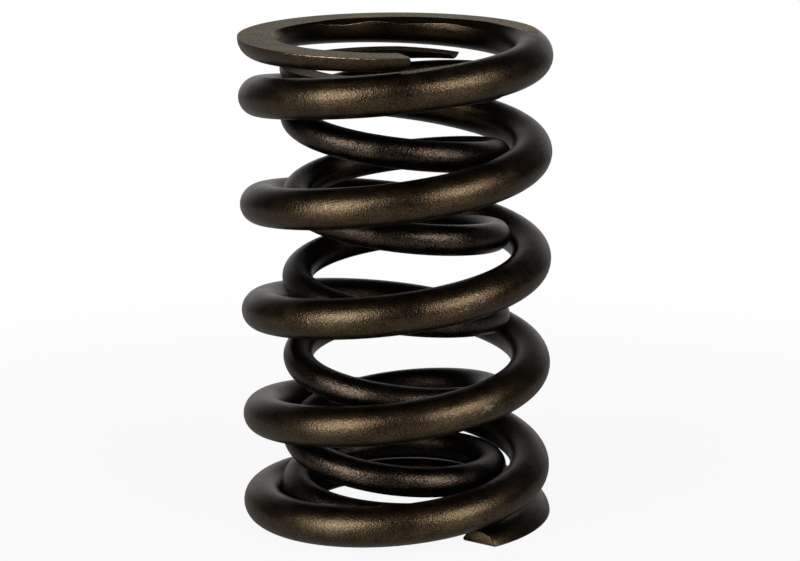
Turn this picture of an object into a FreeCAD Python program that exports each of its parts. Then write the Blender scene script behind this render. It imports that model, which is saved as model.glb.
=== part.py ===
import FreeCAD, Part
import math
import os

# A dual valve spring for an engine, at its free length.
# Two round-wire compression springs stand on one seat, one inside the other. The outer coil
# is wound right-handed and the inner coil left-handed, so that their turns cannot tangle.
# Each end turn is wound down onto its neighbour, sheared off at a skew and ground flat, and
# the mouth of the bore is chamfered so that the coil drops over its seat and its retainer.
# Millimetres and degrees. The origin is the middle of the outer coil's ground lower face,
# and +Z runs up the axis to the retainer.

SIZES = [
    ("outer_diameter", 39.37, "outside diameter of the outer coil, 1.550 in"),
    ("outer_wire", 5.08, "diameter of its wire, 0.200 in"),
    ("outer_height", 61.9, "free length between its ground faces"),
    ("outer_turns", 5.91, "turns from tip to tip"),
    ("outer_tip_angle", -54.2, "azimuth of the lower tip"),
    ("outer_foot_closed_turns", 0.34, "turns from the lower tip that keep the closing pitch"),
    ("outer_head_closed_turns", 0.40, "turns from the upper tip that keep the closing pitch"),
    ("outer_ramp_turns", 0.96, "turns over which the pitch opens from closing to working"),
    ("outer_foot_gap", 0.33, "air between the lower tip and the turn above it"),
    ("outer_head_gap", 0.147, "air between the upper tip and the turn below it"),
    ("outer_foot_tip", 1.64, "thickness that grinding leaves at the lower tip"),
    ("outer_head_tip", 1.834, "thickness that grinding leaves at the upper tip"),
    ("outer_foot_growth", 0.22, "how far the lower tip springs open"),
    ("outer_growth_turns", 1.3, "turns over which that growth dies out"),
    ("outer_skew", 20.0, "angle between a sheared end and a radial line"),
    ("outer_chamfer", 0.80, "width and depth of the chamfer at each mouth"),
    ("inner_wire", 3.89, "diameter of the inner coil's wire"),
    ("inner_height", 58.2, "free length between its ground faces"),
    ("inner_turns", 7.617, "turns from tip to tip"),
    ("inner_tip_angle", -85.4, "azimuth of the lower tip"),
    ("inner_foot_closed_turns", 1.60, "turns from the lower tip that keep the closing pitch"),
    ("inner_head_closed_turns", 0.753, "turns from the upper tip that keep the closing pitch"),
    ("inner_ramp_turns", 0.540, "turns over which the pitch opens from closing to working"),
    ("inner_foot_gap", 0.12, "air between the lower tip and the turn above it"),
    ("inner_head_gap", 0.115, "air between the upper tip and the turn below it"),
    ("inner_foot_tip", 0.69, "thickness that grinding leaves at the lower tip"),
    ("inner_head_tip", 1.00, "thickness that grinding leaves at the upper tip"),
    ("inner_foot_growth", -0.03, "how far the lower tip springs open; below zero it closes in"),
    ("inner_growth_turns", 1.3, "turns over which that growth and the lean die out"),
    ("inner_foot_lean", 0.38, "how far its closed lower turns stand off the axis, toward -X"),
    ("inner_skew", 11.0, "angle between a sheared end and a radial line"),
    ("inner_chamfer", 0.50, "width and depth of the chamfer at each mouth"),
    ("nest_play", 0.115, "radial play between the two coils when they are concentric"),
    ("lean_gap", 0.10, "air left on the side where the inner coil leans to the outer"),
]

RIGHT_HAND = 1
LEFT_HAND = -1
POINTS_PER_TURN = 16

# the bore of each coil: the inner one fits inside the outer one with the play between them
BORE_RADIUS = {
    "outer": "Sizes.outer_diameter / 2 - Sizes.outer_wire",
    "inner": "Sizes.outer_diameter / 2 - Sizes.outer_wire - Sizes.nest_play - Sizes.inner_wire",
}

doc = FreeCAD.newDocument("ValveSpring")
sheet = doc.addObject("Spreadsheet::Sheet", "Sizes")


def fill_sheet():
    """Writes each size on a row of the sheet: its name, its value and what it means."""
    for row, (alias, value, meaning) in enumerate(SIZES, start=1):
        sheet.set("A%d" % row, alias)
        sheet.set("B%d" % row, str(value))
        sheet.set("C%d" % row, meaning)
        sheet.setAlias("B%d" % row, alias)
    doc.recompute()


def value(expression):
    return float(sheet.evalExpression(expression))


def smooth_step(share):
    """Rises from 0 to 1 with no corner at either end."""
    share = min(max(share, 0.0), 1.0)
    return share**2 * (3 - 2 * share)


def smooth_step_area(share):
    """The area under smooth_step from 0 to share."""
    held = min(max(share, 0.0), 1.0)
    return held**3 - held**4 / 2 + max(share - 1.0, 0.0)


class WireLine:
    """Where the middle of one coil's wire runs, by the turns from its lower tip.

    The pitch is closing at both ends, working between them, and ramps from one to the other.
    """

    def __init__(self, name, hand, foot_lean):
        def named(part):
            return value("Sizes." + name + "_" + part)

        self.hand = hand
        self.wire = named("wire")
        self.radius = value(BORE_RADIUS[name]) + self.wire / 2
        self.turns = named("turns")
        self.tip_angle = math.radians(named("tip_angle"))
        self.skew = math.radians(named("skew"))
        self.ramp = named("ramp_turns")
        self.foot_closed = named("foot_closed_turns")
        self.head_closed = named("head_closed_turns")
        self.growth = named("foot_growth")
        self.growth_turns = named("growth_turns")
        self.foot_lean = value(foot_lean)
        self.foot_z = named("foot_tip") - self.wire / 2
        self.head_z = named("height") - named("head_tip") + self.wire / 2
        self.solve_pitches(self.wire + named("foot_gap"), self.wire + named("head_gap"))

    def closed_turns(self, run, closed):
        """How much of a run from a tip counts as closed; the rest counts as working."""
        return run - self.ramp * smooth_step_area((run - closed) / self.ramp)

    def solve_pitches(self, foot_rise, head_rise):
        """Finds the three pitches from the first turn's rise, the last one's and the whole."""
        foot_first = self.closed_turns(1, self.foot_closed)
        head_first = self.closed_turns(1, self.head_closed)
        foot_share = self.closed_turns(self.turns, self.foot_closed) / foot_first
        head_share = self.closed_turns(self.turns, self.head_closed) / head_first
        work = self.turns - foot_share - head_share
        rise = self.head_z - self.foot_z
        self.work_pitch = (rise - foot_rise * foot_share - head_rise * head_share) / work
        self.foot_pitch = (foot_rise - self.work_pitch * (1 - foot_first)) / foot_first
        self.head_pitch = (head_rise - self.work_pitch * (1 - head_first)) / head_first

    def height(self, turn):
        foot = self.closed_turns(turn, self.foot_closed)
        head_end = self.closed_turns(self.turns, self.head_closed)
        head = head_end - self.closed_turns(self.turns - turn, self.head_closed)
        rise = self.foot_pitch * foot + self.head_pitch * head
        return self.foot_z + rise + self.work_pitch * (turn - foot - head)

    def angle(self, turn):
        return self.tip_angle + self.hand * 2 * math.pi * turn

    def point(self, turn):
        growth = self.growth * (1 - smooth_step(turn / self.growth_turns))
        back = smooth_step((turn - self.foot_closed) / self.growth_turns)
        lean = self.foot_lean * (1 - back)
        radius = self.radius + growth
        angle = self.angle(turn)
        return FreeCAD.Vector(
            radius * math.cos(angle) - lean, radius * math.sin(angle), self.height(turn)
        )

    def wire_path(self):
        """One smooth curve through points along the coil, as edges of about a turn each."""
        spans = math.ceil(self.turns)
        count = spans * POINTS_PER_TURN
        spline = Part.BSplineCurve()
        points = [self.point(self.turns * i / count) for i in range(count + 1)]
        share = [i / count for i in range(count + 1)]
        spline.interpolate(Points=points, Parameters=share)
        return Part.Wire([spline.toShape(i / spans, (i + 1) / spans) for i in range(spans)])


def add_feature(kind, name, **expressions):
    """Adds an object whose properties are bound to the sheet."""
    feature = doc.addObject(kind, name)
    for prop, expression in expressions.items():
        feature.setExpression(prop, expression)
    return feature


def wire_line(name, line):
    path = doc.addObject("Part::Feature", name + "_line")
    path.Shape = line.wire_path()
    return path


def sheared_face(name, line):
    """The lower end of the wire: an ellipse, because the wire is sheared at a skew.

    It lies inward by the sagitta of its skew, so that the coil keeps its diameters.
    """
    radius = "Sizes." + name + "_wire / 2"
    face = add_feature(
        "Part::Ellipse",
        name + "_sheared_face",
        MajorRadius=radius + " / cos(Sizes." + name + "_skew)",
        MinorRadius=radius,
    )
    lean = line.tip_angle + line.skew
    outward = FreeCAD.Vector(math.cos(lean), math.sin(lean), 0)
    reach = line.wire / 2 * math.tan(line.skew)
    sagitta = reach**2 / (2 * line.radius)
    axes = FreeCAD.Rotation(outward, FreeCAD.Vector(0, 0, 1), FreeCAD.Vector(), "XYZ")
    face.Placement = FreeCAD.Placement(line.point(0) - outward * sagitta, axes)
    return face


def wound_wire(name, hand, foot_lean):
    """The round wire, wound but not yet ground."""
    line = WireLine(name, hand, foot_lean)
    wound = doc.addObject("Part::Sweep", name + "_wound")
    wound.Sections = [sheared_face(name, line)]
    path = wire_line(name, line)
    wound.Spine = (path, ["Edge%d" % (i + 1) for i in range(len(path.Shape.Edges))])
    wound.Solid = True
    wound.Frenet = True
    return wound


def grinding_envelope(name, foot_lean):
    """The room that grinding leaves: a disc with a 45 degree cone taken out of each mouth.

    The cone of the lower mouth stands where the closed lower turns do.
    """
    height = "Sizes." + name + "_height"
    mouth = BORE_RADIUS[name] + " + Sizes." + name + "_chamfer"
    disc = add_feature(
        "Part::Cylinder", name + "_disc", Radius="Sizes.outer_diameter", Height=height
    )
    foot = add_feature("Part::Cone", name + "_foot_mouth", Radius1=mouth, Height=mouth)
    foot.Radius2 = 0
    foot.setExpression("Placement.Base.x", "-(" + foot_lean + ")")
    head = add_feature("Part::Cone", name + "_head_mouth", Radius2=mouth, Height=mouth)
    head.Radius1 = 0
    head.setExpression("Placement.Base.z", height + " - (" + mouth + ")")
    mouths = doc.addObject("Part::MultiFuse", name + "_mouths")
    mouths.Shapes = [foot, head]
    envelope = doc.addObject("Part::Cut", name + "_envelope")
    envelope.Base = disc
    envelope.Tool = mouths
    return envelope


def spring(name, hand, foot_lean="0 mm"):
    """One finished coil: the wound wire, ground at both ends and chamfered."""
    body = doc.addObject("Part::Common", name + "_body")
    body.Base = wound_wire(name, hand, foot_lean)
    body.Tool = grinding_envelope(name, foot_lean)
    body.Label = name + "_spring"
    return body


def failed_objects():
    return [o.Name for o in doc.Objects if "Invalid" in o.State or "Error" in o.State]


def check(parts):
    """Stops if an object failed or a coil is not one sound solid."""
    if failed_objects():
        raise RuntimeError("failed: " + ", ".join(failed_objects()))
    for part in parts:
        shape = part.Shape
        if shape.isNull() or not shape.isValid() or len(shape.Solids) != 1:
            raise RuntimeError(part.Label + " is not one valid solid")


def write(parts):
    os.makedirs("parts", exist_ok=True)
    for part in parts:
        part.Shape.exportStep(os.path.join("parts", part.Label + ".step"))
        print(part.Label, "volume %.1f cubic mm" % part.Shape.Volume)


fill_sheet()
outer = spring("outer", RIGHT_HAND)
inner = spring("inner", LEFT_HAND, "Sizes.inner_foot_lean")
inner.setExpression("Placement.Base.x", "Sizes.nest_play - Sizes.lean_gap")
doc.recompute()
check([outer, inner])
write([outer, inner])
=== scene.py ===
import math

import bmesh
import bpy
from mathutils import Matrix, Vector, noise


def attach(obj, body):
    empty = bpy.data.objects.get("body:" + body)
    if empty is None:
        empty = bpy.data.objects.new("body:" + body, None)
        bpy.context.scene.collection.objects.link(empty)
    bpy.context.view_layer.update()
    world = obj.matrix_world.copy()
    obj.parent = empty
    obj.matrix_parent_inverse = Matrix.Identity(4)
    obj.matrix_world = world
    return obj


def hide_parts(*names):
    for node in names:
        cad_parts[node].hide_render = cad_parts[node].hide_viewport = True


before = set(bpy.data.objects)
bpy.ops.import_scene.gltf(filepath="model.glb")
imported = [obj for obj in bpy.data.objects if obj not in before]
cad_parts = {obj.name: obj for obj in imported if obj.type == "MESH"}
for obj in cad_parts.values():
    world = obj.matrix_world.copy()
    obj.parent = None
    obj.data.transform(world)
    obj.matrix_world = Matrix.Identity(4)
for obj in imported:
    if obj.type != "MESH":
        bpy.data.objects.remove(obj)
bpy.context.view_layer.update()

# A dual valve spring: two nested round-wire coils of opposite hand, shot-peened and dark,
# with bare ground ends. The sizes of the coils and of their wear are in millimetres, and MM
# turns them into metres.
MM = 0.001
UP = Vector((0, 0, 1))
SHY = 0.013    # millimetres off the wire's radius, to stay inside the part's faceted box
SMOOTH = {"interpolation_type": "SMOOTHSTEP"}
WHITE = (1, 1, 1, 1)


class Coil:
    """One coil's sizes in millimetres and turns, and where the middle of its wire runs."""

    def __init__(self, **sizes):
        self.__dict__.update(sizes)
        self.radius = self.bore + self.wire / 2
        self.foot_z = self.foot_tip - self.wire / 2
        self.head_z = self.height - self.head_tip + self.wire / 2
        self.solve_pitches(self.wire + self.foot_gap, self.wire + self.head_gap)

    def closed_run(self, run, closed):
        """How much of a run from a tip counts as closed; the rest counts as working."""
        return run - self.ramp * smooth_step_area((run - closed) / self.ramp)

    def solve_pitches(self, foot_rise, head_rise):
        """Finds the three pitches from the first turn's rise, the last one's and the whole."""
        foot_first = self.closed_run(1, self.foot_closed)
        head_first = self.closed_run(1, self.head_closed)
        foot_share = self.closed_run(self.turns, self.foot_closed) / foot_first
        head_share = self.closed_run(self.turns, self.head_closed) / head_first
        work = self.turns - foot_share - head_share
        rise = self.head_z - self.foot_z
        self.work_pitch = (rise - foot_rise * foot_share - head_rise * head_share) / work
        self.foot_pitch = (foot_rise - self.work_pitch * (1 - foot_first)) / foot_first
        self.head_pitch = (head_rise - self.work_pitch * (1 - head_first)) / head_first

    def z(self, turn):
        foot = self.closed_run(turn, self.foot_closed)
        head_end = self.closed_run(self.turns, self.head_closed)
        head = head_end - self.closed_run(self.turns - turn, self.head_closed)
        rise = self.foot_pitch * foot + self.head_pitch * head
        return self.foot_z + rise + self.work_pitch * (turn - foot - head)

    def r(self, turn):
        """The radius of a turn, which grows toward the lower tip."""
        return self.radius + self.foot_growth * (1 - smooth_step(turn / self.growth_turns))

    def x(self, turn):
        """How far a turn stands off the axis: the closed lower turns lean to -X."""
        back = smooth_step((turn - self.foot_closed) / self.growth_turns)
        return -self.foot_lean * (1 - back)

    def angle(self, turn):
        return math.radians(self.tip_angle) + self.hand * 2 * math.pi * turn

    def top_turn(self, azimuth):
        """The turn that passes an azimuth last, before the upper tip."""
        left = self.hand * (self.angle(self.turns) - azimuth) / (2 * math.pi)
        return self.turns - left % 1.0

    def wall(self, turn, z, side):
        """The radius of the wire's surface at a height, on its outer (1) or inner (-1) side."""
        rise = z - self.z(turn)
        return self.r(turn) + side * math.sqrt((self.wire / 2) ** 2 - rise**2)


def smooth_step(share):
    """Rises from 0 to 1 with no corner at either end."""
    share = min(max(share, 0.0), 1.0)
    return share**2 * (3 - 2 * share)


def smooth_step_area(share):
    """The area under smooth_step from 0 to share."""
    held = min(max(share, 0.0), 1.0)
    return held**3 - held**4 / 2 + max(share - 1.0, 0.0)


# worn says where an upper end has lost metal: the middle and the reach of each spot, then a
# point and the normal of the plane that it is worn to. mouth says how wide the upper chamfer
# is, as pairs of an azimuth in degrees and a width.
outer = Coil(
    hand=1, wire=5.08, bore=14.605, height=61.9, turns=5.91, tip_angle=-54.2,
    foot_closed=0.34, head_closed=0.40, ramp=0.96, foot_gap=0.33, head_gap=0.147,
    foot_tip=1.64, head_tip=1.834, foot_growth=0.22, growth_turns=1.3, foot_lean=0.0,
    skew=20.0, chamfer=0.80, shift=0.0, around=56, per_turn=96,
    worn=[
        ((1.7, -19.2, 61.4), 2.6, (1.86, -19.36, 61.45), (0.88, 0.0, 0.44)),
        ((1.7, -19.2, 61.4), 2.6, (1.86, -19.36, 61.45), (0.92, 0.0, -0.40)),
        ((5.44, -16.26, 60.3), 4.2, (1.79, -17.05, 59.855), (-0.102, -0.036, 1.0)),
    ],
    mouth=[
        (18, 0.80), (30, 0.90), (42, 1.15), (52, 0.95), (58, 0.84), (64, 0.77), (72, 0.81),
        (80, 0.86), (87, 0.89), (92.5, 0.71), (98, 0.59), (102, 0.49), (105, 0.56),
        (111, 0.67), (116, 0.77), (125, 0.61), (134, 0.30), (150, 0.55), (165, 0.80),
    ],
)
inner = Coil(
    hand=-1, wire=3.89, bore=10.6, height=58.2, turns=7.617, tip_angle=-85.4,
    foot_closed=1.60, head_closed=0.753, ramp=0.540, foot_gap=0.12, head_gap=0.115,
    foot_tip=0.69, head_tip=1.00, foot_growth=-0.03, growth_turns=1.3, foot_lean=0.38,
    skew=11.0, chamfer=0.50, shift=0.015, around=44, per_turn=88,
    worn=[((4.5, 11.5, 57.8), 6.0, (0.5, 12.5, 58.2), (0.040, 0.0, 1.0))],
    mouth=[],
)


def new_object(name, bm):
    mesh = bpy.data.meshes.new(name)
    bm.to_mesh(mesh)
    bm.free()
    piece = bpy.data.objects.new(name, mesh)
    bpy.context.scene.collection.objects.link(piece)
    return piece


def vertices(geom):
    return [v for v in geom if isinstance(v, bmesh.types.BMVert)]


def take_in(whole, part):
    """Adds one bmesh to another and frees it."""
    passed_on = bpy.data.meshes.new("passed_on")
    part.to_mesh(passed_on)
    part.free()
    whole.from_mesh(passed_on)
    bpy.data.meshes.remove(passed_on)


def add_ring(bm, coil, turn):
    """Puts one ring of the wire's outline where it stands at a turn, sheared as the tips are."""
    skew = math.radians(coil.skew)
    upright = Matrix.Rotation(math.radians(90), 4, "X")
    sheared = Matrix.Rotation(skew, 4, "Z") @ Matrix.Diagonal((1 / math.cos(skew), 1, 1, 1))
    sagitta = (coil.wire / 2 * math.tan(skew)) ** 2 / (2 * coil.radius)
    inward = Vector((math.cos(skew), math.sin(skew), 0)) * -sagitta
    seat = Matrix.Translation((Vector((coil.r(turn), 0, coil.z(turn))) + inward) * MM)
    turned = Matrix.Rotation(coil.angle(turn), 4, "Z")
    leaned = Matrix.Translation((coil.x(turn) * MM, 0, 0))
    return bmesh.ops.create_circle(
        bm, segments=coil.around, radius=(coil.wire / 2 - SHY) * MM,
        matrix=leaned @ turned @ seat @ sheared @ upright,
    )["verts"]


def spun_stretch(coil, start, end):
    """The wire from one turn to another: a ring spun up the coil step by step."""
    bm = bmesh.new()
    ring = add_ring(bm, coil, start) + list(bm.edges)
    steps = round((end - start) * coil.per_turn)
    for step in range(steps):
        turn = start + (end - start) * step / steps
        after = start + (end - start) * (step + 1) / steps
        spun = bmesh.ops.spin(
            bm, geom=ring, cent=(coil.x(turn) * MM, 0, 0), axis=UP,
            dvec=UP * (coil.z(after) - coil.z(turn)) * MM,
            angle=coil.angle(after) - coil.angle(turn), steps=1,
        )
        ring = spun["geom_last"]
        outward = Vector((math.cos(coil.angle(after)), math.sin(coil.angle(after)), 0))
        move = outward * (coil.r(after) - coil.r(turn))
        move.x += coil.x(after) - coil.x(turn)
        if move.length:
            bmesh.ops.translate(bm, verts=vertices(ring), vec=move * MM)
    return bm


def wound_wire(coil, tip_round=0.22):
    """The wire before grinding. Stretches of about half a turn are quick to spin and join up."""
    whole = bmesh.new()
    stretches = math.ceil(coil.turns * 2)
    for i in range(stretches):
        part = spun_stretch(coil, coil.turns * i / stretches, coil.turns * (i + 1) / stretches)
        take_in(whole, part)
    bmesh.ops.remove_doubles(whole, verts=whole.verts, dist=1e-6)
    rims = [e for e in whole.edges if e.is_boundary]
    bmesh.ops.holes_fill(whole, edges=rims)
    bmesh.ops.bevel(
        whole, geom=rims, offset=tip_round * MM, segments=3, profile=0.5, affect="EDGES",
        material=-1,
    )
    bmesh.ops.recalc_face_normals(whole, faces=whole.faces)
    return whole


def mouth_width(coil, azimuth, upper):
    """How wide a chamfer is. The upper ones were cut by hand against a wheel, so it wanders."""
    if not upper:
        return coil.chamfer
    degrees = math.degrees(azimuth) % 360
    for (start, width), (end, next_width) in zip(coil.mouth, coil.mouth[1:]):
        if start <= degrees < end:
            share = smooth_step((degrees - start) / (end - start))
            return width + (next_width - width) * share
    slow = 0.06 * math.sin(3 * azimuth + 0.6)
    quick = 0.04 * math.sin(13 * azimuth)
    return coil.chamfer * (1 + slow + quick)


def widen_mouths(bm, coil):
    """Gives each mouth its chamfer, and moves the lower one to where the closed turns lean."""
    for v in bm.verts:
        across = v.co.to_2d().length
        if 1e-6 < across < (coil.bore + coil.wire) * MM:
            upper = v.co.z > coil.height / 2 * MM
            wider = mouth_width(coil, math.atan2(v.co.y, v.co.x), upper) * MM
            v.co.xy *= (across + wider) / across
            if not upper:
                v.co.x -= coil.foot_lean * MM


def grinding_envelope(coil, segments=240, rim=24.0, mouth_depth=1.7):
    """What grinding leaves: a disc with a 45 degree mouth sunk into each face.

    The faces of the disc have the first material and the mouths the second.
    """
    bm = bmesh.new()
    low, high = 0.0, coil.height
    throat = coil.bore - mouth_depth
    profile = [
        (0, low + mouth_depth), (throat, low + mouth_depth), (coil.bore, low), (rim, low),
        (rim, high), (coil.bore, high), (throat, high - mouth_depth), (0, high - mouth_depth),
    ]
    points = [bm.verts.new(Vector((r, 0, z)) * MM) for r, z in profile]
    edges = [bm.edges.new(pair) for pair in zip(points, points[1:])]
    bmesh.ops.spin(
        bm, geom=points + edges, cent=(0, 0, 0), axis=UP, angle=2 * math.pi, steps=segments,
        use_merge=True,
    )
    bmesh.ops.remove_doubles(bm, verts=bm.verts, dist=1e-6)
    widen_mouths(bm, coil)
    bmesh.ops.recalc_face_normals(bm, faces=bm.faces)
    for face in bm.faces:
        level = abs(face.normal.z) > 0.9
        face.material_index = 0 if level else 1
    return bm


def thread(spots, slot):
    """A fine burr along an edge: a small ring spun from spot to spot and closed at both ends.

    Each spot is an azimuth in radians and then a radius, a height and a thickness.
    """
    bm = bmesh.new()
    azimuth, radius, z, thickness = spots[0]
    upright = Matrix.Rotation(math.radians(90), 4, "X")
    seat = Matrix.Translation(Vector((radius, 0, z)) * MM)
    turned = Matrix.Rotation(azimuth, 4, "Z")
    start = bmesh.ops.create_circle(
        bm, segments=7, radius=thickness / 2 * MM, matrix=turned @ seat @ upright
    )["verts"]
    ring = start + list(bm.edges)
    for next_azimuth, next_radius, next_z, next_thickness in spots[1:]:
        spun = bmesh.ops.spin(
            bm, geom=ring, cent=(0, 0, 0), axis=UP, dvec=UP * (next_z - z) * MM,
            angle=next_azimuth - azimuth, steps=1,
        )
        ring = spun["geom_last"]
        outward = Vector((math.cos(next_azimuth), math.sin(next_azimuth), 0))
        move = outward * (next_radius - radius) * MM
        bmesh.ops.translate(bm, verts=vertices(ring), vec=move)
        middle = (outward * next_radius + UP * next_z) * MM
        bmesh.ops.scale(
            bm, verts=vertices(ring), vec=(next_thickness / thickness,) * 3,
            space=Matrix.Translation(-middle),
        )
        azimuth, radius, z, thickness = next_azimuth, next_radius, next_z, next_thickness
    bmesh.ops.holes_fill(bm, edges=[e for e in bm.edges if e.is_boundary])
    bmesh.ops.recalc_face_normals(bm, faces=bm.faces)
    for face in bm.faces:
        face.material_index = slot
    return bm


def rough_edge(coil, start, end, thickness, place, per_degree=1.5, taper_steps=6):
    """The spots of a thread from one azimuth in degrees to another.

    The thread thickens and thins at random, and tapers off at both ends.
    """
    spots = []
    steps = round((end - start) * per_degree)
    for i in range(steps + 1):
        azimuth = math.radians(start + (end - start) * i / steps)
        radius, z = place(azimuth)
        uneven = 1 + 0.9 * noise.noise(Vector((i * 0.37, start, coil.hand)))
        taper = min(1.0, (i + 0.5) / taper_steps, (steps - i + 0.5) / taper_steps)
        spots.append((azimuth, radius, z, thickness * uneven * taper))
    return spots


def flat_rim(coil, inset):
    """Where the upper flat ends at the outside of the wire, by azimuth."""
    def place(azimuth):
        z = coil.height - inset
        return coil.wall(coil.top_turn(azimuth), z, 1), z
    return place


def foot_rim(coil, inset):
    """Where the lower flat ends at the outside of the first turn, by azimuth."""
    def place(azimuth):
        turn = coil.hand * (azimuth - coil.angle(0)) / (2 * math.pi)
        return coil.wall(turn, inset, 1), inset
    return place


def chamfer_rim(coil, rounds=12):
    """Where the upper chamfer runs out in the bore, by azimuth. The depth settles by rounds."""
    def place(azimuth):
        turn = coil.top_turn(azimuth)
        depth = width = mouth_width(coil, azimuth, True)
        for _ in range(rounds):
            depth = width + coil.bore - coil.wall(turn, coil.height - depth, -1)
        z = coil.height - depth
        return coil.wall(turn, z, -1), z
    return place


def joined_faces(bm, middle, reach):
    """The faces close to a point that join up there, without those of the turn below."""
    def off(face):
        return (face.calc_center_median() / MM - Vector(middle)).length
    closest = min(bm.faces, key=off)
    found = {closest}
    border = [closest]
    while border:
        around = {f for e in border.pop().edges for f in e.link_faces} - found
        fresh = [f for f in around if off(f) < reach]
        found.update(fresh)
        border.extend(fresh)
    return [f for f in bm.faces if f in found]


def wear_flat(bm, middle, reach, point, normal, slot):
    """Cuts away what lies beyond a plane, only close to a point, and leaves bare metal there."""
    near = joined_faces(bm, middle, reach)
    edges = dict.fromkeys(e for f in near for e in f.edges)
    corners = dict.fromkeys(v for f in near for v in f.verts)
    bmesh.ops.bisect_plane(
        bm, geom=[*near, *edges, *corners], dist=1e-7,
        plane_co=Vector(point) * MM, plane_no=normal, clear_outer=True,
    )
    filled = bmesh.ops.holes_fill(bm, edges=[e for e in bm.edges if e.is_boundary])
    for face in filled["faces"]:
        face.material_index = slot
        face.smooth = False


def finish_end(mesh, coil, burrs):
    """Wears the upper end and adds the burrs, each in its own material."""
    names = [material.name for material in mesh.materials]
    bm = bmesh.new()
    bm.from_mesh(mesh)
    for middle, reach, point, normal in coil.worn:
        wear_flat(bm, middle, reach, point, normal, names.index(ground_steel.name))
    for spots in burrs:
        take_in(bm, thread(spots, names.index(burr_steel.name)))
    bm.to_mesh(mesh)
    bm.free()


def ground_coil(name, coil, skin, burrs):
    """One finished coil: the wound wire, kept only where it lies in the envelope."""
    piece = new_object(name, wound_wire(coil))
    envelope = new_object(name + "_envelope", grinding_envelope(coil))
    piece.data.materials.append(skin)
    envelope.data.materials.append(ground_steel)
    envelope.data.materials.append(chamfer_steel)
    cut = piece.modifiers.new("ground", "BOOLEAN")
    cut.operation = "INTERSECT"
    cut.solver = "EXACT"
    cut.material_mode = "TRANSFER"
    cut.object = envelope
    graph = bpy.context.evaluated_depsgraph_get()
    mesh = bpy.data.meshes.new_from_object(piece.evaluated_get(graph))
    piece.modifiers.remove(cut)
    piece.data = mesh
    bpy.data.objects.remove(envelope)
    mesh.materials.append(burr_steel)
    mesh.shade_smooth()
    mesh.set_sharp_from_angle(angle=math.radians(24))
    finish_end(mesh, coil, burrs)
    mesh.transform(Matrix.Translation(Vector((coil.shift, 0, 0)) * MM))
    return piece


def linear(text):
    """An sRGB hex colour as linear red, green, blue and alpha."""
    parts = [int(text[i:i + 2], 16) / 255 for i in (1, 3, 5)]
    return [p / 12.92 if p <= 0.04045 else ((p + 0.055) / 1.055) ** 2.4 for p in parts] + [1]


def set_stops(ramp, stops):
    """Sets a colour ramp from pairs of a position and an sRGB hex colour."""
    while len(ramp.elements) < len(stops):
        ramp.elements.new(0.5)
    for element, (position, colour) in zip(ramp.elements, stops):
        element.position = position
        element.color = linear(colour)


def add(tree, kind, settings, **sockets):
    """Adds a node with its settings, where stops are those of a colour ramp.

    A socket takes a value or a link. It goes by its name, with _ for a space, or by _ and its
    number.
    """
    node = tree.nodes.new("ShaderNode" + kind)
    for name, value in settings.items():
        if name == "stops":
            set_stops(node.color_ramp, value)
        else:
            setattr(node, name, value)
    for name, value in sockets.items():
        key = int(name[1:]) if name[1:].isdigit() else name.replace("_", " ")
        if isinstance(value, bpy.types.NodeSocket):
            tree.links.new(value, node.inputs[key])
        else:
            node.inputs[key].default_value = value
    return node


def new_material(name):
    material = bpy.data.materials.new(name)
    material.use_nodes = True
    tree = material.node_tree
    tree.nodes.clear()
    return material, tree, add(tree, "TexCoord", {}).outputs["Object"]


def nearest_mark(tree, place, marks):
    """How far a point is from the closest mark, where 1 is on the mark's rim.

    A mark is an ellipsoid round the line between two points on the surface, in millimetres,
    with a half width. Noise makes its rim ragged.
    """
    ragged = add(tree, "TexNoise", {}, Vector=place, Scale=1 / (0.25 * MM), Detail=1.0)
    spread = add(tree, "VectorMath", {"operation": "MULTIPLY_ADD"}, _0=ragged.outputs["Color"],
                 _1=(0.16 * MM,) * 3, _2=(-0.08 * MM,) * 3)
    spot = add(tree, "VectorMath", {"operation": "ADD"}, _0=place, _1=spread.outputs["Vector"])
    nearest = None
    for start, end, half_width in marks:
        along = Vector(end) - Vector(start)
        inside = add(tree, "Mapping", {"vector_type": "TEXTURE"}, Vector=spot.outputs["Vector"],
                     Location=(Vector(start) + Vector(end)) / 2 * MM,
                     Rotation=along.to_track_quat("X", "Z").to_euler(),
                     Scale=Vector((along.length / 2 + half_width, half_width, half_width)) * MM)
        off = add(tree, "VectorMath", {"operation": "LENGTH"}, _0=inside.outputs["Vector"])
        off = off.outputs["Value"]
        if nearest:
            off = add(tree, "Math", {"operation": "MINIMUM"}, _0=nearest, _1=off).outputs["Value"]
        nearest = off
    return nearest


def bore_painted_shade(tree, place, coil):
    """Painted shade in the bore: the skin is painted at full brightness outside the coil and at
    half of that inside.
    """
    across = add(tree, "VectorMath", {"operation": "MULTIPLY"}, _0=place, _1=(1, 1, 0))
    off_axis = add(tree, "VectorMath", {"operation": "LENGTH"}, _0=across.outputs["Vector"])
    share = add(tree, "MapRange", SMOOTH, Value=off_axis.outputs["Value"], To_Min=0.50,
                From_Min=(coil.radius - coil.wire * 0.40) * MM,
                From_Max=(coil.radius + coil.wire * 0.10) * MM)
    return share.outputs["Result"]


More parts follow.
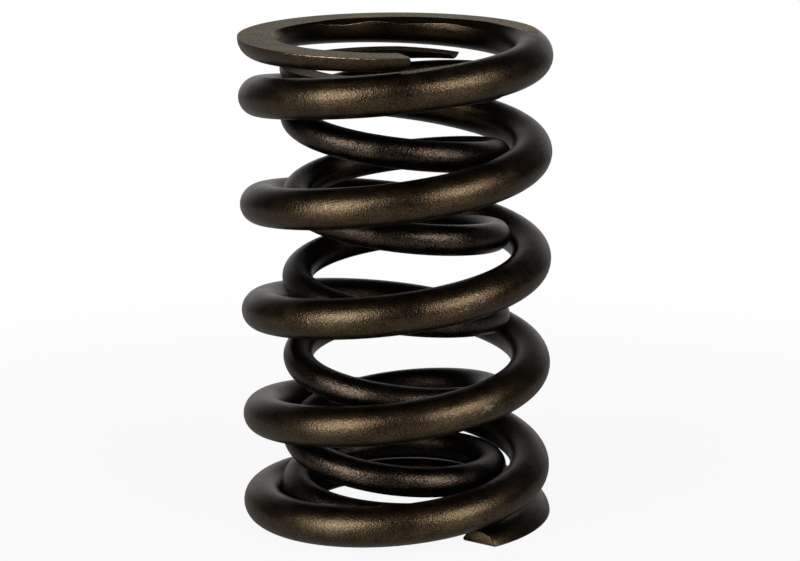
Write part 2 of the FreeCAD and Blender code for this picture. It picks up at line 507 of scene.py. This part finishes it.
def peened_steel(name, coil, dark, light, roughness, depth, marks):
    """Oil-tempered chrome-silicon spring steel, shot-peened: a thin dark oxide over tiny dents.

    The oxide gives a deep warm brown with little mirror, and the dents break each highlight
    into fine grain. The dents are about 0.2 mm across, one to two pixels here. Knocks have
    taken the oxide off in a few places, where grey steel shows. Inside the coil the skin is
    painted darker, down to half, as painted shade in the bore.
    """
    material, tree, place = new_material(name)
    mottle = add(tree, "TexNoise", {}, Vector=place, Scale=1 / (2.5 * MM), Detail=3.0)
    grain = add(tree, "TexNoise", {}, Vector=place, Scale=1 / (0.15 * MM), Detail=1.0)
    dents = add(tree, "TexVoronoi", {"feature": "SMOOTH_F1"}, Vector=place, Scale=1 / (0.22 * MM))
    both = add(tree, "Math", {"operation": "MULTIPLY_ADD"}, _0=mottle.outputs["Fac"], _1=0.35,
               _2=grain.outputs["Fac"])
    brown = add(tree, "ValToRGB", {"stops": [(0.50, dark), (0.85, light)]},
                Fac=both.outputs["Value"])
    # Painted shade: the oxide's colour is scaled down to half inside the coil, darker in the
    # bore.
    oxide = add(tree, "VectorMath", {"operation": "SCALE"}, _0=brown.outputs["Color"],
                Scale=bore_painted_shade(tree, place, coil))
    bare = add(tree, "MapRange", SMOOTH, Value=nearest_mark(tree, place, marks), From_Min=0.55,
               From_Max=1.05, To_Min=1.0, To_Max=0.0)
    colour = add(tree, "Mix", {"data_type": "RGBA"}, _0=bare.outputs["Result"],
                 _6=oxide.outputs["Vector"], _7=linear("#787062"))
    rough = add(tree, "MapRange", {}, Value=mottle.outputs["Fac"], From_Min=0.3, From_Max=0.7,
                To_Min=roughness - 0.04, To_Max=roughness + 0.05)
    bump = add(tree, "Bump", {}, Strength=0.7, Distance=depth * MM,
               Height=dents.outputs["Distance"])
    fine = add(tree, "Bump", {}, Strength=0.7, Distance=0.8 * depth * MM,
               Height=grain.outputs["Fac"], Normal=bump.outputs["Normal"])
    steel = add(tree, "BsdfPrincipled", {}, Metallic=1.0, Base_Color=colour.outputs[2],
                Roughness=rough.outputs["Result"], Normal=fine.outputs["Normal"])
    add(tree, "OutputMaterial", {}, Surface=steel.outputs["BSDF"])
    return material


def ground_face(name, pits, dark, light, roughness, plus_x_painted_light=1.0):
    """Bare spring steel, face-ground on a coarse wheel and left to dull: matte, finely gritty.

    The grit is a third of a millimetre, as coarse as it needs to be to show. Some dark skin can
    be left in its pits. The last argument says how much brighter the side toward +X is painted
    than the side toward -X: a painted reflection, as if more light fell on that side.
    """
    material, tree, place = new_material(name)
    grit = add(tree, "TexNoise", {}, Vector=place, Scale=1 / (0.34 * MM), Detail=3.0)
    cloud = add(tree, "TexNoise", {}, Vector=place, Scale=1 / (3.0 * MM), Detail=2.0)
    both = add(tree, "Math", {"operation": "MULTIPLY_ADD"}, _0=cloud.outputs["Fac"], _1=0.25,
               _2=grit.outputs["Fac"])
    stone = add(tree, "ValToRGB", {"stops": [(0.50, pits), (0.56, dark), (0.72, light)]},
                Fac=both.outputs["Value"])
    side = add(tree, "SeparateXYZ", {}, Vector=place)
    # Painted reflection: the colour is scaled up toward +X, so that side is painted brighter.
    wheel = add(tree, "MapRange", {}, Value=side.outputs["X"], From_Min=-17 * MM,
                From_Max=17 * MM, To_Min=1.0, To_Max=plus_x_painted_light)
    colour = add(tree, "VectorMath", {"operation": "SCALE"}, _0=stone.outputs["Color"],
                 Scale=wheel.outputs["Result"])
    bump = add(tree, "Bump", {}, Strength=0.7, Distance=0.020 * MM, Height=grit.outputs["Fac"])
    steel = add(tree, "BsdfPrincipled", {}, Metallic=1.0, Roughness=roughness,
                Base_Color=colour.outputs["Vector"], Specular_Tint=linear("#F7EFE0"),
                Normal=bump.outputs["Normal"])
    add(tree, "OutputMaterial", {}, Surface=steel.outputs["BSDF"])
    return material


# knocks, scratches and specks that show bare steel: the two ends of each and its half width
OUTER_MARKS = [
    ((0.00, -19.36, 61.70), (0.00, -19.30, 61.50), 0.09),
    ((0.50, -19.29, 61.68), (0.62, -19.28, 61.62), 0.10),
    ((10.71, -16.42, 18.14), (11.95, -15.54, 18.31), 0.26),
    ((10.82, -16.29, 18.42), (11.57, -15.84, 17.78), 0.22),
    ((10.32, -16.67, 17.52), (10.94, -16.29, 18.00), 0.14),
    ((9.33, -17.26, 17.61), (9.46, -17.19, 17.59), 0.09),
    ((8.18, -17.82, 30.94), (8.54, -17.66, 31.33), 0.12),
    ((8.43, -17.71, 31.10), (8.79, -17.53, 31.02), 0.09),
    ((10.17, -16.78, 31.58), (10.88, -16.30, 31.85), 0.12),
    ((7.59, -18.08, 30.91), (7.96, -17.92, 30.87), 0.10),
    ((9.55, -16.76, 32.64), (9.92, -16.62, 32.57), 0.09),
    ((-10.84, -16.33, 29.29), (-10.46, -16.60, 29.13), 0.12),
    ((-15.66, -11.81, 28.12), (-14.38, -13.35, 28.39), 0.08),
    ((-8.25, -16.00, 31.70), (-8.38, -16.45, 31.36), 0.05),
    ((-8.36, -17.54, 43.96), (-8.37, -17.70, 43.47), 0.08),
    ((-0.47, -19.51, 15.80), (0.82, -19.44, 15.78), 0.05),
    ((0.80, -19.50, 15.94), (2.38, -19.21, 15.71), 0.06),
    ((-14.26, -11.85, 4.37), (-14.35, -13.41, 2.89), 0.05),
    ((-17.60, -4.10, 29.67), (-17.52, -4.10, 29.67), 0.09),
    ((-17.18, -0.57, 56.78), (-17.10, -0.57, 56.78), 0.08),
    ((-16.53, -8.85, 4.03), (-16.45, -8.85, 4.03), 0.08),
]
INNER_MARKS = [((5.16, -13.05, 7.62), (5.24, -13.05, 7.62), 0.09)]

outer_skin = peened_steel("oil_tempered_wire_outer", outer, "#32291E", "#5D4E3B", 0.31, 0.040,
                          OUTER_MARKS)
inner_skin = peened_steel("oil_tempered_wire_inner", inner, "#120E0B", "#54483E", 0.30, 0.048,
                          INNER_MARKS)
# The ground faces are painted 1.75 times brighter at +X than at -X, as a painted reflection.
ground_steel = ground_face("ground_spring_steel", "#2B261E", "#3B352B", "#887D6B", 0.40, 1.75)
chamfer_steel = ground_face("chamfered_spring_steel", "#2E261B", "#322A1E", "#453A2B", 0.30)
burr_steel = ground_face("burred_spring_steel", "#6E6048", "#786950", "#A08D6C", 0.35)


def dress(piece, node):
    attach(piece, "root")
    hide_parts(node)


outer_coil = ground_coil("outer_coil", outer, outer_skin, [
    rough_edge(outer, -136, -89, 0.11, flat_rim(outer, 0.10)),
    rough_edge(outer, 40, 134, 0.045, chamfer_rim(outer)),
    rough_edge(outer, -53, -34, 0.09, foot_rim(outer, 0.08)),
])
dress(outer_coil, "outer_spring")
inner_coil = ground_coil("inner_coil", inner, inner_skin, [])
dress(inner_coil, "inner_spring")


def photo_camera():
    """The photograph's viewpoint: a third of a metre away, looking down at about 14 degrees."""
    distance, elevation, aim_z = 334.65 * MM, math.radians(13.747), 30.342 * MM
    roll = math.radians(-0.202)
    focal_pixels, image_width, sensor = 2630.9, 800, 36.0
    centre_shift_pixels = -3.906
    lens = bpy.data.cameras.new("camera")
    lens.sensor_width = sensor
    lens.lens = focal_pixels / image_width * sensor
    lens.shift_x = -centre_shift_pixels / image_width
    lens.clip_start = 0.01
    camera = bpy.data.objects.new("camera", lens)
    bpy.context.scene.collection.objects.link(camera)
    aim = Matrix.Translation((0, 0, aim_z))
    tilt = Matrix.Rotation(math.radians(90) - elevation, 4, "X")
    back = Matrix.Translation((0, 0, distance))
    camera.matrix_world = aim @ tilt @ Matrix.Rotation(roll, 4, "Z") @ back
    bpy.context.scene.camera = camera


def softbox(name, azimuth, elevation, width, height, radiance, distance=1.0):
    """A soft lamp by its direction from the set in degrees, with 0 at the camera and + right.

    Its distance and size are in metres.
    """
    az, el = math.radians(azimuth), math.radians(elevation)
    away = Vector((math.sin(az) * math.cos(el), -math.cos(az) * math.cos(el), math.sin(el)))
    lamp = bpy.data.lights.new(name, "AREA")
    lamp.shape = "RECTANGLE"
    lamp.size = width
    lamp.size_y = height
    lamp.energy = radiance * math.pi * width * height
    holder = bpy.data.objects.new(name, lamp)
    holder.location = away * distance + Vector((0, 0, 30 * MM))
    holder.rotation_euler = away.to_track_quat("Z", "Y").to_euler()
    holder.visible_camera = False
    bpy.context.scene.collection.objects.link(holder)


def seen_directly(tree, rays):
    """1 for a ray from the camera or through glass, and 0 for others."""
    return add(tree, "Math", {"operation": "MAXIMUM"}, _0=rays["Is Camera Ray"],
               _1=rays["Is Transmission Ray"]).outputs["Value"]


def studio_world():
    """White all round for the eye; dark overhead and in front for what the metal mirrors."""
    world = bpy.data.worlds.new("studio")
    bpy.context.scene.world = world
    world.use_nodes = True
    tree = world.node_tree
    tree.nodes.clear()
    way = add(tree, "SeparateXYZ", {}, Vector=add(tree, "TexCoord", {}).outputs["Generated"])
    behind = add(tree, "MapRange", SMOOTH, Value=way.outputs["Y"], From_Min=0.68, From_Max=1.0)
    low = add(tree, "MapRange", SMOOTH, Value=way.outputs["Z"], From_Min=0.20, From_Max=0.50,
              To_Min=1.0, To_Max=0.0)
    sweep = add(tree, "Math", {"operation": "MULTIPLY"}, _0=behind.outputs["Result"],
                _1=low.outputs["Result"])
    mirrored = add(tree, "MapRange", {}, Value=sweep.outputs["Value"], To_Min=0.035, To_Max=0.65)
    rays = add(tree, "LightPath", {}).outputs
    unseen = add(tree, "Mix", {"data_type": "FLOAT"}, _0=rays["Is Glossy Ray"], _2=0.05,
                 _3=mirrored.outputs["Result"])
    total = add(tree, "Mix", {"data_type": "FLOAT"}, _0=seen_directly(tree, rays),
                _2=unseen.outputs[0], _3=1.0)
    white = add(tree, "Background", {}, Color=WHITE, Strength=total.outputs[0])
    add(tree, "OutputWorld", {}, Surface=white.outputs["Background"])


def pale_floor():
    """A pale table top, lightly polished. The camera sees it almost as white as the backdrop."""
    bm = bmesh.new()
    bmesh.ops.create_circle(bm, cap_ends=True, segments=96, radius=0.6)
    floor = new_object("floor", bm)
    material, tree, place = new_material("pale_floor")
    away = add(tree, "VectorMath", {"operation": "LENGTH"}, _0=place)
    fade = add(tree, "MapRange", SMOOTH, Value=away.outputs["Value"], From_Min=0.03,
               From_Max=0.16, To_Min=0.92, To_Max=1.0)
    seen = seen_directly(tree, add(tree, "LightPath", {}).outputs)
    share = add(tree, "Math", {"operation": "MULTIPLY"}, _0=seen, _1=fade.outputs["Result"])
    table = add(tree, "BsdfPrincipled", {}, Base_Color=linear("#C8C8C8"), Roughness=0.30)
    white = add(tree, "Emission", {}, Color=WHITE, Strength=1.0)
    mix = add(tree, "MixShader", {}, _0=share.outputs["Value"], _1=table.outputs["BSDF"],
              _2=white.outputs["Emission"])
    add(tree, "OutputMaterial", {}, Surface=mix.outputs["Shader"])
    floor.data.materials.append(material)


photo_camera()
studio_world()
pale_floor()
softbox("left_softbox", azimuth=-48, elevation=23, width=0.62, height=0.76, radiance=6.3)
softbox("right_softbox", azimuth=47, elevation=26, width=0.62, height=0.66, radiance=5.3)
bpy.context.scene.view_settings.view_transform = "Standard"
